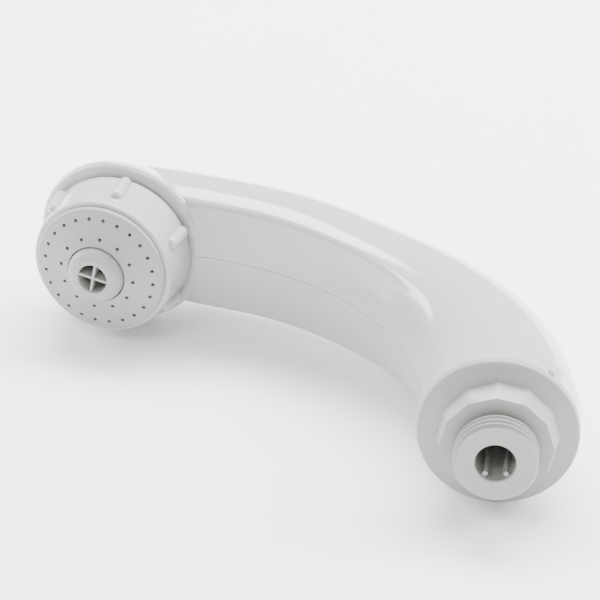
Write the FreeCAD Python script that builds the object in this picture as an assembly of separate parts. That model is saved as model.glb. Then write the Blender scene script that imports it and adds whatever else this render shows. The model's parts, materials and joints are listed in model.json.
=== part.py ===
import FreeCAD, Part
import math, os

# Handheld shower head: a hooked handset in two mirrored half shells, with a
# ribbed turning spray collar at one end and a threaded hose connector at the
# other.  Millimetres.  The handset lies on its side: its mid-plane is level,
# +Z is up and the hose connector points along -Y.

os.makedirs("parts", exist_ok=True)

# ---------------------------------------------------------------- main sizes
REACH = 96.6          # head axis to connector axis across the hook
RISE = 86.4           # connector mouth to the head's seat along the hook
SPLAY = math.radians(18.2)    # head axis leans away from the connector axis
GRIP_THIN = 0.8       # the grip thins by this much as it runs into the head
THIN_RUN = 22.0
END_DEPTH = 20.0      # spine to the connector axis
BEND_R = 71.6         # inner radius of the hook
GRIP_DEPTH = 9.2      # spine to the centre of the round back, at the head
GRIP_R = 16.0         # radius of the round back, at the head
FLAT_DEPTH = 1.2      # spine to the middle of the flat inner face
FLAT_RISE = 0.12      # each half of the flat face bulges by this much
CREASE = math.radians(116.3)  # where the round back meets the inner face
END_CREASE = math.radians(130)
CREASE_R = 2.2        # easing of the crease at the head
SWELL_START = 55.0    # length along the spine where the grip starts to grow
NECK_R = 19.2         # round neck just behind the connector ring
RING_R = 19.9         # connector ring of the handle
RING_L = 9.0
WALL = 2.4
SEAM_W = 0.14
SEAM_DEPTH = 0.25
SECTIONS = 13

BOSS_R = 21.4         # round seat behind the turning collar
BOSS_FRONT = -0.6
BOSS_EDGE = 1.9
FLARE_R = 24.6        # the seat runs out into the inner face at this radius
BOSS_OPEN_R = 14.6

COLLAR_BACK = -0.1
COLLAR_FRONT = 12.2
COLLAR_BACK_R = 18.5
COLLAR_FRONT_R = 17.8
RIB_COUNT = 6
RIB_CREST_R = 19.6
RIB_R = 1.6
RIB_TURN = 84.0       # degrees

FACE_HOLE_R = 0.475
OUTER_RING_R = 14.18
OUTER_RING_H = 14.3
OUTER_HOLES = 24
OUTER_TURN = 100.5
INNER_RING_R = 9.45
INNER_HOLES = 12
INNER_TURN = 85.5
FACE_SLOPE = math.tan(math.radians(16.5))
FACE_T = 2.0
RIM_R = 16.7
RIM_H = 12.9
NOZZLE_R = 7.2
MOUTH_R = 3.7
MOUTH_H = 19.0
CROSS_T = 0.6
CROSS_TURN = -8.6

THREAD_R = 20.955 / 2     # G1/2 pipe thread
THREAD_PITCH = 25.4 / 14
THREAD_DEPTH = 1.162
CREST_FLAT = 0.30
SPIGOT_END = 14.7         # end face ahead of the ring's mouth
HEX_BASE = 1.5            # twelve-sided boss, from the flange forward
HEX_FRONT = 7.3
HEX_SIDES = 12
HEX_BASE_R = 15.4
HEX_FRONT_R = 14.0
FLANGE_R = RING_R         # the flange covers the front of the ring
FLANGE_T = 2.0
BORE_R = 5.04
BORE_RIB_R = 3.7
BORE_RIB_TURN = -53.0     # two ribs low in the bore, one each side
BARREL_R = 16.3
BARREL_L = 17.0

TUBE_R = 4.8
TUBE_BORE_R = 3.6
TUBE_START = 9.0      # inside the connector's socket
TUBE_STRAIGHT = 19.0

SHANK_R = 1.4
SCREW_HEAD_R = 2.6
SCREW_HEAD_T = 1.8
POST_R = 2.7
CAP_R = 2.9
PLUG_R = 2.9          # flush plug in the upper half
PLUG_RUN_UP = 31.5    # connector mouth to the plug

SLACK = 0.3           # between pieces that move against each other
FIT = 0.1             # round a piece that is seated
SNUG = 0.05           # round a screw, plug or pin

V = FreeCAD.Vector
UP = V(0, 0, 1)
DOWN = V(0, 0, -1)
BIG = 400.0


# ---------------------------------------------------------------- helpers
def frame_at(origin, axis, across):
    """Placement whose local Z runs along axis and local Y is straight up."""
    return FreeCAD.Placement(origin, FreeCAD.Rotation(across, UP, axis, "ZXY"))


def outline(steps):
    """Closed wire in the local XZ plane; a step of four numbers is an arc (end, then a point on it)."""
    edges = []
    here = V(steps[0][0], 0, steps[0][1])
    start = here
    for step in steps[1:]:
        there = V(step[0], 0, step[1])
        if len(step) == 4:
            edges.append(Part.Arc(here, V(step[2], 0, step[3]), there).toShape())
        else:
            edges.append(Part.makeLine(here, there))
        here = there
    if here.distanceToPoint(start) > 1e-6:
        edges.append(Part.makeLine(here, start))
    return Part.Wire(edges)


def turned(steps):
    """Solid of revolution about local Z."""
    return Part.Face(outline(steps)).revolve(V(0, 0, 0), UP, 360)


def rod(radius, low, high, x=0.0, y=0.0):
    return Part.makeCylinder(radius, high - low, V(x, y, low))


def pipe(outer, inner, low, high, x=0.0, y=0.0):
    return rod(outer, low, high, x, y).cut(rod(inner, low - 1, high + 1, x, y))


def polar(radius, degrees):
    turn = math.radians(degrees)
    return radius * math.cos(turn), radius * math.sin(turn)


def torus(ring_r, wire_r, height):
    return Part.makeTorus(ring_r, wire_r, V(0, 0, height), UP)


def coil(ring_r, wire_r, low, high, turns):
    """Round-wire compression spring standing between two heights."""
    run = high - low - 2 * wire_r
    helix = Part.makeHelix(run / turns, run, ring_r)
    helix.translate(V(0, 0, low + wire_r))
    section = Part.Wire(Part.makeCircle(wire_r, V(ring_r, 0, low + wire_r), V(0, 1, 0)))
    return Part.Wire(helix).makePipeShell([section], True, True)


def moved(shape, placement):
    out = shape.copy()
    out.transformShape(placement.toMatrix())
    return out


def first_solid(shape):
    solids = sorted(shape.Solids, key=lambda s: s.Volume)
    return solids[-1]


# ---------------------------------------------------------------- the spine
LEAN = math.pi / 2 - SPLAY
ACROSS_HEAD = V(math.cos(SPLAY), -math.sin(SPLAY), 0)
SPRAY = V(-math.sin(SPLAY), -math.cos(SPLAY), 0)
HEAD = V(-REACH, RISE, 0)
CORNER_RUN = (REACH - END_DEPTH) / math.cos(SPLAY)
TANGENT = BEND_R * math.tan(LEAN / 2)
RUN_HEAD = CORNER_RUN - TANGENT
RUN_ARC = BEND_R * LEAN
RUN_END = RISE - CORNER_RUN * math.sin(SPLAY) - TANGENT
SPINE_L = RUN_HEAD + RUN_ARC + RUN_END


def spine(run):
    """Point on the spine, the way along it and the way to the back of the hook."""
    straight = min(run, RUN_HEAD)
    turn = min(max(run - RUN_HEAD, 0.0), RUN_ARC) / BEND_R
    last = max(run - RUN_HEAD - RUN_ARC, 0.0)
    heading = SPLAY + turn
    x = HEAD.x + straight * math.cos(SPLAY) + BEND_R * (math.sin(heading) - math.sin(SPLAY))
    y = HEAD.y - straight * math.sin(SPLAY) - BEND_R * (math.cos(SPLAY) - math.cos(heading)) - last
    return V(x, y, 0), V(math.cos(heading), -math.sin(heading), 0), V(math.sin(heading), math.cos(heading), 0)


def thinning(run):
    return GRIP_THIN * max(1 - run / THIN_RUN, 0.0) ** 2


def grip(run):
    """Section sizes: depth of the centre, radius, crease angle and depth of the inner face."""
    part = min(max((run - SWELL_START) / (SPINE_L - RING_L - SWELL_START), 0.0), 1.0)
    swell = part * (0.3 + 0.7 * part * (3 - 2 * part))
    depth = GRIP_DEPTH + (END_DEPTH - GRIP_DEPTH) * swell
    radius = GRIP_R + (NECK_R - GRIP_R) * swell - thinning(run)
    crease = CREASE + (END_CREASE - CREASE) * swell
    flat = FLAT_DEPTH + (END_DEPTH - NECK_R - FLAT_DEPTH) * swell
    return depth, radius, crease, flat, swell


def centre_of(a, b, c):
    """Centre of the circle through three points of a plane."""
    return Part.Arc(a, b, c).toShape().Curve.Center


def tangent_centre(one, one_r, two, two_r, near):
    """Centre at one_r from one and two_r from two, on the side of near."""
    gap = two - one
    away = (one_r ** 2 - two_r ** 2 + gap.Length ** 2) / (2 * gap.Length)
    side = V(-gap.y, gap.x, 0) / gap.Length * math.sqrt(max(one_r ** 2 - away ** 2, 0.0))
    foot = one + gap / gap.Length * away
    return min((foot + side, foot - side), key=lambda p: p.distanceToPoint(near))


def section(run, inset):
    """Closed D-shaped section wire with eased creases, drawn in by inset."""
    point, along, back = spine(run)
    depth, radius, crease, flat, swell = grip(run)
    edge_depth = depth + radius * math.cos(crease) + inset
    radius = radius - inset
    flat = flat + inset
    ease = max(CREASE_R * (1 + 3 * swell) - inset, 0.8)
    crease = math.acos((edge_depth - depth) / radius)
    corner = V(edge_depth, radius * math.sin(crease), 0)
    round_centre = V(depth, 0, 0)
    low_face = V(flat, 0, 0)
    chord = corner - low_face
    round_rise = radius - math.sqrt(radius ** 2 - chord.Length ** 2 / 4)
    bulge = (FLAT_RISE + (round_rise - FLAT_RISE) * swell) / chord.Length
    mid_face = (low_face + corner) / 2 + V(-chord.y, chord.x, 0) * bulge
    face_centre = centre_of(low_face, mid_face, corner)
    face_r = face_centre.distanceToPoint(corner)
    if swell < 0.98:
        ease_centre = tangent_centre(face_centre, face_r - ease, round_centre, radius - ease, corner)
        on_face = face_centre + (ease_centre - face_centre).normalize() * face_r
        on_round = round_centre + (ease_centre - round_centre).normalize() * radius
        middle = ease_centre + ((on_face + on_round) / 2 - ease_centre).normalize() * ease
    else:
        step = 0.07
        on_face, middle, on_round = [
            round_centre + V(math.cos(crease + a), math.sin(crease + a), 0) * radius for a in (step, 0, -step)]
    face_turn = on_face - face_centre
    low_turn = low_face - face_centre
    mid_turn = (face_turn.normalize() + low_turn.normalize()).normalize() * face_r
    turn = math.atan2(on_round.y, on_round.x - depth) / 2
    side = V(depth + radius * math.cos(turn), radius * math.sin(turn), 0)
    end = V(depth + radius, 0, 0)
    half = [(low_face, face_centre + mid_turn, on_face), (on_face, middle, on_round), (on_round, side, end)]

    def at(p, way):
        return point + back * p.x + UP * (p.y * way)

    up = [Part.Arc(at(a, 1), at(b, 1), at(c, 1)).toShape() for a, b, c in half]
    down = [Part.Arc(at(c, -1), at(b, -1), at(a, -1)).toShape() for a, b, c in reversed(half)]
    return Part.Wire(up + down)


def grip_body(inset, first, last):
    """Lofted grip between two lengths along the spine."""
    step = (last - first) / (SECTIONS - 1)
    wires = [section(first + step * i, inset) for i in range(SECTIONS)]
    return Part.makeLoft(wires, True, False)


def head_end(inset):
    """Round seat that narrows to a ball at the back, about the head axis (local Z forward)."""
    ball_r = GRIP_R - GRIP_THIN - inset
    rim_r = BOSS_R - inset
    edge = BOSS_EDGE
    front = BOSS_FRONT - inset
    corner = V(rim_r, front - edge, 0)
    to_corner = math.atan2(-(corner.y + GRIP_DEPTH), rim_r)
    reach = math.hypot(rim_r, corner.y + GRIP_DEPTH)
    touch = to_corner + math.acos(ball_r / reach)
    tangent_r = ball_r * math.cos(touch)
    tangent_h = -GRIP_DEPTH - ball_r * math.sin(touch)
    middle = (touch + math.pi / 2) / 2
    root = math.sqrt(0.5)
    return turned([
        (0, front),
        (rim_r - edge, front),
        (rim_r, front - edge, rim_r - edge + edge * root, front - edge + edge * root),
        (tangent_r, tangent_h),
        (0, -GRIP_DEPTH - ball_r, ball_r * math.cos(middle), -GRIP_DEPTH - ball_r * math.sin(middle)),
    ])


def seat_flare():
    """Low ramp from the round seat out on to the flat inner face of the grip."""
    top = BOSS_FRONT - 0.2
    foot = -FLAT_DEPTH - 0.25
    low = FLAT_DEPTH + 3.0
    inner_r = BOSS_R - BOSS_EDGE
    ramp = turned([
        (inner_r - 3.0, -low),
        (inner_r - 3.0, top),
        (inner_r, top),
        (FLARE_R, foot, inner_r + 0.5 * (FLARE_R - inner_r), top + 0.62 * (foot - top)),
        (FLARE_R, -low),
    ])
    sides = Part.makeCylinder(GRIP_R - GRIP_THIN, FLARE_R, V(8.0, 0, -GRIP_DEPTH), V(1, 0, 0))
    return ramp.common(sides)


AT_HEAD = frame_at(HEAD, SPRAY, ACROSS_HEAD)
AT_END = frame_at(V(0, 0, 0), V(0, -1, 0), V(1, 0, 0))
parts = {}

# ---------------------------------------------------------------- handle shells
RING_FRONT = -FLANGE_T - FIT
end_ring = turned([
    (0, -RING_L - 1.0),
    (NECK_R - 0.4, -RING_L - 1.0),
    (RING_R - 0.3, -RING_L),
    (RING_R, -RING_L + 0.3),
    (RING_R, RING_FRONT - 0.2),
    (RING_R - 0.2, RING_FRONT),
    (0, RING_FRONT),
])
outer = grip_body(0.0, 0.0, SPINE_L - RING_L).fuse(
    [moved(head_end(0.0), AT_HEAD), moved(seat_flare(), AT_HEAD), moved(end_ring, AT_END)])
hollow = grip_body(WALL, 0.0, SPINE_L - RING_L).fuse(
    [moved(head_end(WALL), AT_HEAD), moved(rod(BARREL_R + SLACK, -BARREL_L - 1, 1), AT_END)])
shell = outer.cut(hollow)

# holding ridge inside the ring
RIDGE_LOW = -11.0
RIDGE_HIGH = -9.0
ridge = pipe(BARREL_R + 1.0, BARREL_R - 1.2, RIDGE_LOW, RIDGE_HIGH)
shell = shell.fuse(moved(ridge, AT_END))

# open seat for the head body, with an inner ledge behind it
shell = shell.cut(moved(rod(BOSS_OPEN_R, -WALL - 2, 1), AT_HEAD))

# cradle plates across the hollow that hold the water tube
CRADLES = (30.0, 62.0, 94.0)
for run in CRADLES:
    point, along, back = spine(run)
    depth = grip(run)[0]
    slab = Part.makeBox(1.6, 80, 80, V(-0.8, -20, -40))
    place = FreeCAD.Placement(point, FreeCAD.Rotation(along, back, UP, "ZXY"))
    plate = moved(slab, place).common(grip_body(WALL - 0.2, run - 8, run + 8))
    centre = point + back * depth - along * 3
    shell = shell.fuse(plate.cut(Part.makeCylinder(TUBE_R + SLACK, 6, centre, along)))

# self-tapping screws let in from below, on the outer side of the water tube
POST_RUNS = (("end", 97.0, 10.6), ("mid", 68.0, 9.6), ("neck", 34.0, 9.6))
POSTS = []
for name, run, beside in POST_RUNS:
    point, along, back = spine(run)
    POSTS.append((name, point + back * (grip(run)[0] + beside)))
SEAT_DOWN = 6.0       # screw seat below the mid-plane
SCREW_REACH = 7.0     # how far the screw bites above the mid-plane
posts = []
drills = []
for name, spot in POSTS:
    around = Part.makeBox(40, 40, 60, spot - V(20, 20, 30))
    local = outer.common(around)
    posts.append(Part.makeCylinder(POST_R, 60, spot - UP * 30).common(local))
    posts.append(Part.makeCylinder(CAP_R + 1.2, 30, spot + DOWN * (SEAT_DOWN - 2.0), DOWN).common(local))
    drills.append(Part.makeCylinder(CAP_R + SNUG, 40, spot + DOWN * SEAT_DOWN, DOWN))
    drills.append(Part.makeCylinder(SHANK_R + SNUG, SEAT_DOWN + SCREW_REACH + 1,
                                    spot + UP * (SCREW_REACH + 0.5), DOWN))
plug_spot = V(0, PLUG_RUN_UP, 0)
drills.append(Part.makeCylinder(PLUG_R + SNUG, 40, plug_spot + UP * 8, UP))
shell = shell.fuse(posts).cut(drills)

# small key notch in the front edge of the ring
notch_x, notch_z = polar(RING_R, 50.0)
notch = Part.makeBox(1.8, 3.0, 2.4, V(-0.9, -RING_FRONT - 1.8, -1.2))
notch.rotate(V(0, 0, 0), V(0, 1, 0), -50.0)
notch.translate(V(notch_x, 0, notch_z))
shell = shell.cut(notch)

# fine open line where the half shells meet
line = Part.makeBox(2 * BIG, 2 * BIG, SEAM_W, V(-BIG, -BIG, -SEAM_W / 2))
core = grip_body(SEAM_DEPTH, 0.0, SPINE_L - RING_L).fuse([
    moved(head_end(SEAM_DEPTH), AT_HEAD), moved(rod(RING_R - SEAM_DEPTH, -RING_L, 1), AT_END),
    moved(rod(FLARE_R, -WALL - 2, 3), AT_HEAD)])
shell = shell.cut(line.cut(core))

above = Part.makeBox(2 * BIG, 2 * BIG, BIG, V(-BIG, -BIG, 0))
below = Part.makeBox(2 * BIG, 2 * BIG, BIG, V(-BIG, -BIG, -BIG))
parts["handle_upper_half"] = first_solid(shell.common(above))
parts["handle_lower_half"] = first_solid(shell.common(below))

for name, spot in POSTS:
    seat = spot + DOWN * SEAT_DOWN
    under = seat + DOWN * SCREW_HEAD_T
    head = Part.makeCylinder(SCREW_HEAD_R, SCREW_HEAD_T, seat, DOWN)
    drive = Part.makeBox(3.2, 0.8, 2.0, V(-1.6, -0.4, -1.0))
    drive = drive.fuse(Part.makeBox(0.8, 3.2, 2.0, V(-0.4, -1.6, -1.0)))
    drive.translate(under)
    shank = Part.makeCylinder(SHANK_R, SEAT_DOWN + SCREW_REACH, spot + UP * SCREW_REACH, DOWN)
    parts[name + "_screw"] = head.fuse(shank).cut(drive)
    cap = Part.makeCylinder(CAP_R, 40, under + DOWN * 0.2, DOWN).common(outer)
    parts[name + "_screw_cap"] = cap.cut(Part.makeCylinder(CAP_R - 1.2, 3.0, under + UP * 0.8, DOWN))

# flush plug in the upper half: a thin wall button with an inner rim that keeps it in
button = Part.makeCylinder(PLUG_R, 40, plug_spot + UP * 8, UP).common(outer)
button = button.cut(grip_body(WALL, SPINE_L - RING_L - 40, SPINE_L - RING_L))
parts["flush_plug"] = first_solid(button)

# ---------------------------------------------------------------- water tube
TUBE_END = 14.0       # length along the spine where the tube enters the head body
tube_points = [V(0, TUBE_STRAIGHT, 0)]
for i in range(7):
    run = SPINE_L - 34.0 - (SPINE_L - 34.0 - 30.0) * i / 6
    point, along, back = spine(run)
    tube_points.append(point + back * grip(run)[0])
head_way = ACROSS_HEAD * -1
tube_curve = Part.BSplineCurve()
tube_curve.interpolate(Points=tube_points, InitialTangent=V(0, 1, 0), FinalTangent=head_way)
tube_in = Part.makeLine(V(0, TUBE_START, 0), tube_points[0])
tube_out_end = HEAD - SPRAY * GRIP_DEPTH + ACROSS_HEAD * TUBE_END
tube_out = Part.makeLine(tube_points[-1], tube_out_end)
tube_path = Part.Wire([tube_in, tube_curve.toShape(), tube_out])


def along_tube(radius):
    ring = Part.Wire(Part.makeCircle(radius, V(0, TUBE_START, 0), V(0, 1, 0)))
    return tube_path.makePipeShell([ring], True, False)


parts["water_tube"] = along_tube(TUBE_R).cut(along_tube(TUBE_BORE_R))

# ---------------------------------------------------------------- hose connector
flange = turned([
    (BORE_R, -BARREL_L),
    (BARREL_R, -BARREL_L),
    (BARREL_R, RIDGE_LOW - FIT),
    (BARREL_R - 1.2 - SLACK, RIDGE_LOW - FIT),
    (BARREL_R - 1.2 - SLACK, RIDGE_HIGH + FIT),
    (BARREL_R, RIDGE_HIGH + FIT),
    (BARREL_R, -FLANGE_T),
    (FLANGE_R, -FLANGE_T),
    (FLANGE_R, -0.9),
    (FLANGE_R - 0.9, 0, FLANGE_R - 0.264, -0.264),
    (HEX_BASE_R * math.cos(math.pi / HEX_SIDES) - 0.3, HEX_BASE),
    (BORE_R, HEX_BASE),
])


def many_sided(corner_r, height):
    points = [V(*polar(corner_r, 360.0 / HEX_SIDES * i), height) for i in range(HEX_SIDES)]
    return Part.makePolygon(points + [points[0]])


sides = Part.makeLoft([many_sided(HEX_BASE_R, 0), many_sided(HEX_FRONT_R, HEX_FRONT)], True, True)
sides = sides.cut(rod(BORE_R, -1, HEX_FRONT + 1))
ROOT_R = THREAD_R - THREAD_DEPTH
spigot = turned([
    (BORE_R, HEX_FRONT - 1),
    (ROOT_R, HEX_FRONT - 1),
    (ROOT_R, HEX_FRONT + 0.2),
    (THREAD_R, HEX_FRONT + 0.2 + THREAD_DEPTH),
    (THREAD_R, SPIGOT_END - 0.5),
    (THREAD_R - 0.5, SPIGOT_END),
    (BORE_R + 0.3, SPIGOT_END),
    (BORE_R, SPIGOT_END - 0.3),
])
# one groove, wound along the spigot, leaves the thread's flat crests standing
GROOVE_TURNS = 4.3
GROOVE_START = 200.0      # degrees round the spigot
GROOVE_ROOT = 0.12        # half width of the groove's floor
OVERCUT = 0.18
groove_half = (THREAD_PITCH - CREST_FLAT) / 2
groove_out = groove_half + OVERCUT * (groove_half - GROOVE_ROOT) / THREAD_DEPTH
helix = Part.makeHelix(THREAD_PITCH, THREAD_PITCH * GROOVE_TURNS, THREAD_R)
helix.translate(V(0, 0, HEX_FRONT))
groove = Part.makePolygon([
    V(ROOT_R, 0, HEX_FRONT - GROOVE_ROOT),
    V(ROOT_R, 0, HEX_FRONT + GROOVE_ROOT),
    V(THREAD_R + OVERCUT, 0, HEX_FRONT + groove_out),
    V(THREAD_R + OVERCUT, 0, HEX_FRONT - groove_out),
    V(ROOT_R, 0, HEX_FRONT - GROOVE_ROOT),
])
groove = Part.Wire(helix).makePipeShell([groove], True, True)
groove.rotate(V(0, 0, 0), UP, GROOVE_START)
spigot = spigot.cut(groove)
connector = flange.fuse([sides, spigot])
connector = connector.cut(pipe(BARREL_R - 3.4, BORE_R + 4.0, -BARREL_L - 1, -FLANGE_T - 1.5))
SEAL_W = 1.0
SEAL_Y = -BARREL_L + 3.2
connector = connector.cut(pipe(BARREL_R + 1, BARREL_R - 1.5, SEAL_Y - SEAL_W, SEAL_Y + SEAL_W))
SOCKET_L = BARREL_L - TUBE_START + 0.3
connector = connector.cut(rod(TUBE_R + FIT, -BARREL_L - 1, -BARREL_L + SOCKET_L))
GLAND_R = TUBE_R + 1.5
connector = connector.cut(rod(GLAND_R + FIT, -BARREL_L - 1, -BARREL_L + 2.2))
BORE_RIB_L = 10.0
for turn in (BORE_RIB_TURN, 180.0 - BORE_RIB_TURN):
    rib = Part.makeBox(BORE_R - BORE_RIB_R + 0.5, 1.1, BORE_RIB_L, V(BORE_RIB_R, -0.55, SPIGOT_END - 1 - BORE_RIB_L))
    rib.rotate(V(0, 0, 0), UP, turn)
    connector = connector.fuse(rib)
parts["hose_connector"] = moved(connector, AT_END)
parts["tube_inlet_oring"] = moved(
    torus((TUBE_R + GLAND_R + FIT) / 2, (GLAND_R - TUBE_R) / 2 - SNUG, -BARREL_L + 1.1), AT_END)

seal_wire = (BARREL_R + SLACK - (BARREL_R - 1.5)) / 2 - SNUG
parts["barrel_oring"] = moved(torus(BARREL_R - 1.5 + SNUG + seal_wire, seal_wire, SEAL_Y), AT_END)

# ---------------------------------------------------------------- head body
LEDGE = BOSS_FRONT - WALL         # inner side of the seat wall
CAN_R = 11.6
CAN_BACK = -15.5
CAN_WALL = 2.2
PLATE_TOP = 1.5
PLATE_T = 2.6
HUB_R = 6.4
HUB_TOP = 11.0
STEM_R = 4.8
SEAL_R = 0.9
head_body = turned([
    (0, CAN_BACK),
    (CAN_R - 2.5, CAN_BACK),
    (CAN_R, CAN_BACK + 2.5, CAN_R - 0.73, CAN_BACK + 0.73),
    (CAN_R, LEDGE - 2.2),
    (BOSS_OPEN_R + 2.6, LEDGE - 2.2),
    (BOSS_OPEN_R + 2.6, LEDGE - FIT),
    (BOSS_OPEN_R - FIT, LEDGE - FIT),
    (BOSS_OPEN_R - FIT, BOSS_FRONT - 0.2),
    (BOSS_OPEN_R - 0.6, BOSS_FRONT - 0.2),
    (BOSS_OPEN_R - 0.6, BOSS_FRONT + 0.3),
    (BOSS_OPEN_R - 1.5, BOSS_FRONT + 0.3),
    (BOSS_OPEN_R - 1.5, PLATE_TOP - 0.3),
    (BOSS_OPEN_R - 1.5 - 0.3, PLATE_TOP),
    (HUB_R, PLATE_TOP),
    (HUB_R, HUB_TOP),
    (STEM_R + FIT, HUB_TOP),
    (STEM_R + FIT, HUB_TOP - 7.0),
    (0, HUB_TOP - 7.0),
])
chamber = turned([
    (0, CAN_BACK + CAN_WALL),
    (CAN_R - CAN_WALL, CAN_BACK + CAN_WALL),
    (CAN_R - CAN_WALL, PLATE_TOP - PLATE_T),
    (0, PLATE_TOP - PLATE_T),
])
head_body = head_body.cut(chamber)
head_body = head_body.cut(rod(MOUTH_R - 0.6, PLATE_TOP - PLATE_T - 1, HUB_TOP))
# inlet socket for the water tube, square to the head axis
socket = Part.makeCylinder(TUBE_R + 1.8, TUBE_END + 5.0 - 8.0, V(8.0, 0, -GRIP_DEPTH), V(1, 0, 0))
socket_bore = Part.makeCylinder(TUBE_R + FIT, 30, V(TUBE_END - 0.3, 0, -GRIP_DEPTH), V(1, 0, 0))
inlet = Part.makeCylinder(TUBE_BORE_R, 30, V(0, 0, -GRIP_DEPTH), V(1, 0, 0))
gland = Part.makeCylinder(TUBE_R + 1.2, 30, V(TUBE_END + 3.0, 0, -GRIP_DEPTH), V(1, 0, 0))
core = rod(CAN_R - CAN_WALL, CAN_BACK + CAN_WALL, PLATE_TOP - PLATE_T)
head_body = head_body.fuse(socket.cut(core)).cut([socket_bore, inlet, gland])

# ports and pockets of the fixed plate
PORT_RING_R = 9.6
PORT_R = 1.9
SEAL_TURN = 150.0
PIN_TURN = 330.0
CUP_R = 2.4
PIN_R = 1.3
POCKET_LOW = -7.0
for turn in (30.0, 90.0, 270.0):
    px, py = polar(PORT_RING_R, turn)
    head_body = head_body.cut(rod(PORT_R, PLATE_TOP - PLATE_T - 1, PLATE_TOP + 1, px, py))
for turn, radius in ((SEAL_TURN, CUP_R), (PIN_TURN, PIN_R)):
    px, py = polar(PORT_RING_R, turn)
    sleeve = rod(radius + 1.1, POCKET_LOW - 1.0, PLATE_TOP - 0.5, px, py)
    head_body = head_body.fuse(sleeve)
    head_body = head_body.cut(rod(radius + SNUG, POCKET_LOW, PLATE_TOP + 1, px, py))
RIM_SEAL_R = BOSS_OPEN_R - 1.5
head_body = head_body.cut(torus(RIM_SEAL_R, SEAL_R + SNUG, 0.5))
parts["head_body"] = moved(head_body, AT_HEAD)
parts["plate_seal"] = moved(torus(RIM_SEAL_R, SEAL_R, 0.5), AT_HEAD)
parts["tube_outlet_oring"] = moved(
    Part.makeTorus(TUBE_R + 0.6, 0.6 - SNUG, V(TUBE_END + 3.6, 0, -GRIP_DEPTH), V(1, 0, 0)), AT_HEAD)

# holding ring on the hub keeps the collar down
HOLD_LOW = 5.6
hold_groove = pipe(HUB_R + 1, HUB_R - 0.6, HOLD_LOW - SNUG, HOLD_LOW + 1.0 + SNUG)
parts["head_body"] = parts["head_body"].cut(moved(hold_groove, AT_HEAD))
hold = pipe(HUB_R + 1.5, HUB_R - 0.6 + SNUG, HOLD_LOW, HOLD_LOW + 1.0)
hold = hold.cut(Part.makeBox(20, 4.0, 4, V(0, -2.0, HOLD_LOW - 1)))
parts["holding_ring"] = moved(hold, AT_HEAD)

# ---------------------------------------------------------------- centre nozzle
NOZZLE_FOOT = 13.4
nozzle = turned([
    (MOUTH_R - 0.6, HUB_TOP - 6.5),
    (STEM_R, HUB_TOP - 6.5),
    (STEM_R, HUB_TOP + SNUG),
    (HUB_R, HUB_TOP + SNUG),
    (HUB_R, NOZZLE_FOOT),
    (NOZZLE_R, NOZZLE_FOOT + 0.8),
    (NOZZLE_R, 16.5),
    (MOUTH_R + 0.9, MOUTH_H, MOUTH_R + 2.75, MOUTH_H - 0.85),
    (MOUTH_R + 0.2, MOUTH_H),
    (MOUTH_R, MOUTH_H - 0.3),
    (MOUTH_R, 15.0),
    (MOUTH_R - 0.6, 14.0),
])
cross_low = 15.2
cross_high = MOUTH_H - 0.5
for turn in (CROSS_TURN, CROSS_TURN + 90):
    arm = Part.makeBox(2 * MOUTH_R + 0.6, CROSS_T, cross_high - cross_low,
                       V(-MOUTH_R - 0.3, -CROSS_T / 2, cross_low))
    arm.rotate(V(0, 0, 0), UP, turn)
    nozzle = nozzle.fuse(arm)
parts["centre_nozzle"] = moved(nozzle, AT_HEAD)

# ---------------------------------------------------------------- turning collar
COLLAR_BORE_R = RIM_SEAL_R + SEAL_R + FIT
WEB_LOW = 2.9
WEB_T = 2.2
SKIRT_R = 14.9
LEAN_OUT = (COLLAR_BACK_R - COLLAR_FRONT_R) / (COLLAR_FRONT - COLLAR_BACK)
collar = turned([
    (HUB_R + SLACK, WEB_LOW),
    (COLLAR_BORE_R, WEB_LOW),
    (COLLAR_BORE_R, COLLAR_BACK),
    (COLLAR_BACK_R - 0.4, COLLAR_BACK),
    (COLLAR_BACK_R, COLLAR_BACK + 0.4),
    (COLLAR_FRONT_R, COLLAR_FRONT - 0.5),
    (COLLAR_FRONT_R - 0.5, COLLAR_FRONT, COLLAR_FRONT_R - 0.146, COLLAR_FRONT - 0.146),
    (SKIRT_R + SNUG, COLLAR_FRONT),
    (SKIRT_R + SNUG, WEB_LOW + WEB_T),
    (HUB_R + SLACK, WEB_LOW + WEB_T),
])
RIB_LOW = 1.6
RIB_HIGH = 7.2
ribs = []
for i in range(RIB_COUNT):
    turn = RIB_TURN + 360.0 / RIB_COUNT * i
    centre_r = RIB_CREST_R - RIB_R
    foot = V(*polar(centre_r + (RIB_HIGH - RIB_LOW) * LEAN_OUT, turn), RIB_LOW)
    tip = V(*polar(centre_r, turn), RIB_HIGH)
    stem = Part.makeCylinder(RIB_R, foot.distanceToPoint(tip), foot, tip - foot)
    ribs.append(stem.fuse([Part.makeSphere(RIB_R, tip), Part.makeSphere(RIB_R, foot)]))
keep = pipe(COLLAR_BACK_R + 5, (COLLAR_BORE_R + COLLAR_FRONT_R) / 2, COLLAR_BACK, COLLAR_FRONT)
for rib in ribs:
    collar = collar.fuse(rib.common(keep))
for turn in (30.0, 90.0, 150.0, 210.0, 270.0, 330.0):
    px, py = polar(PORT_RING_R, turn)
    collar = collar.cut(rod(PORT_R, WEB_LOW - 1, WEB_LOW + WEB_T + 1, px, py))
parts["ribbed_collar"] = moved(collar, AT_HEAD)

# diverter disc, keyed under the collar's web
disc = pipe(PORT_RING_R + PORT_R + 0.8, HUB_R + SLACK, PLATE_TOP + SLACK, WEB_LOW)
for turn in (30.0, 90.0, 270.0):
    px, py = polar(PORT_RING_R, turn)
    disc = disc.cut(rod(PORT_R, PLATE_TOP, WEB_LOW + 1, px, py))
parts["diverter_disc"] = moved(disc, AT_HEAD)


def face_height(radius):
    return OUTER_RING_H + (OUTER_RING_R - radius) * FACE_SLOPE


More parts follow.
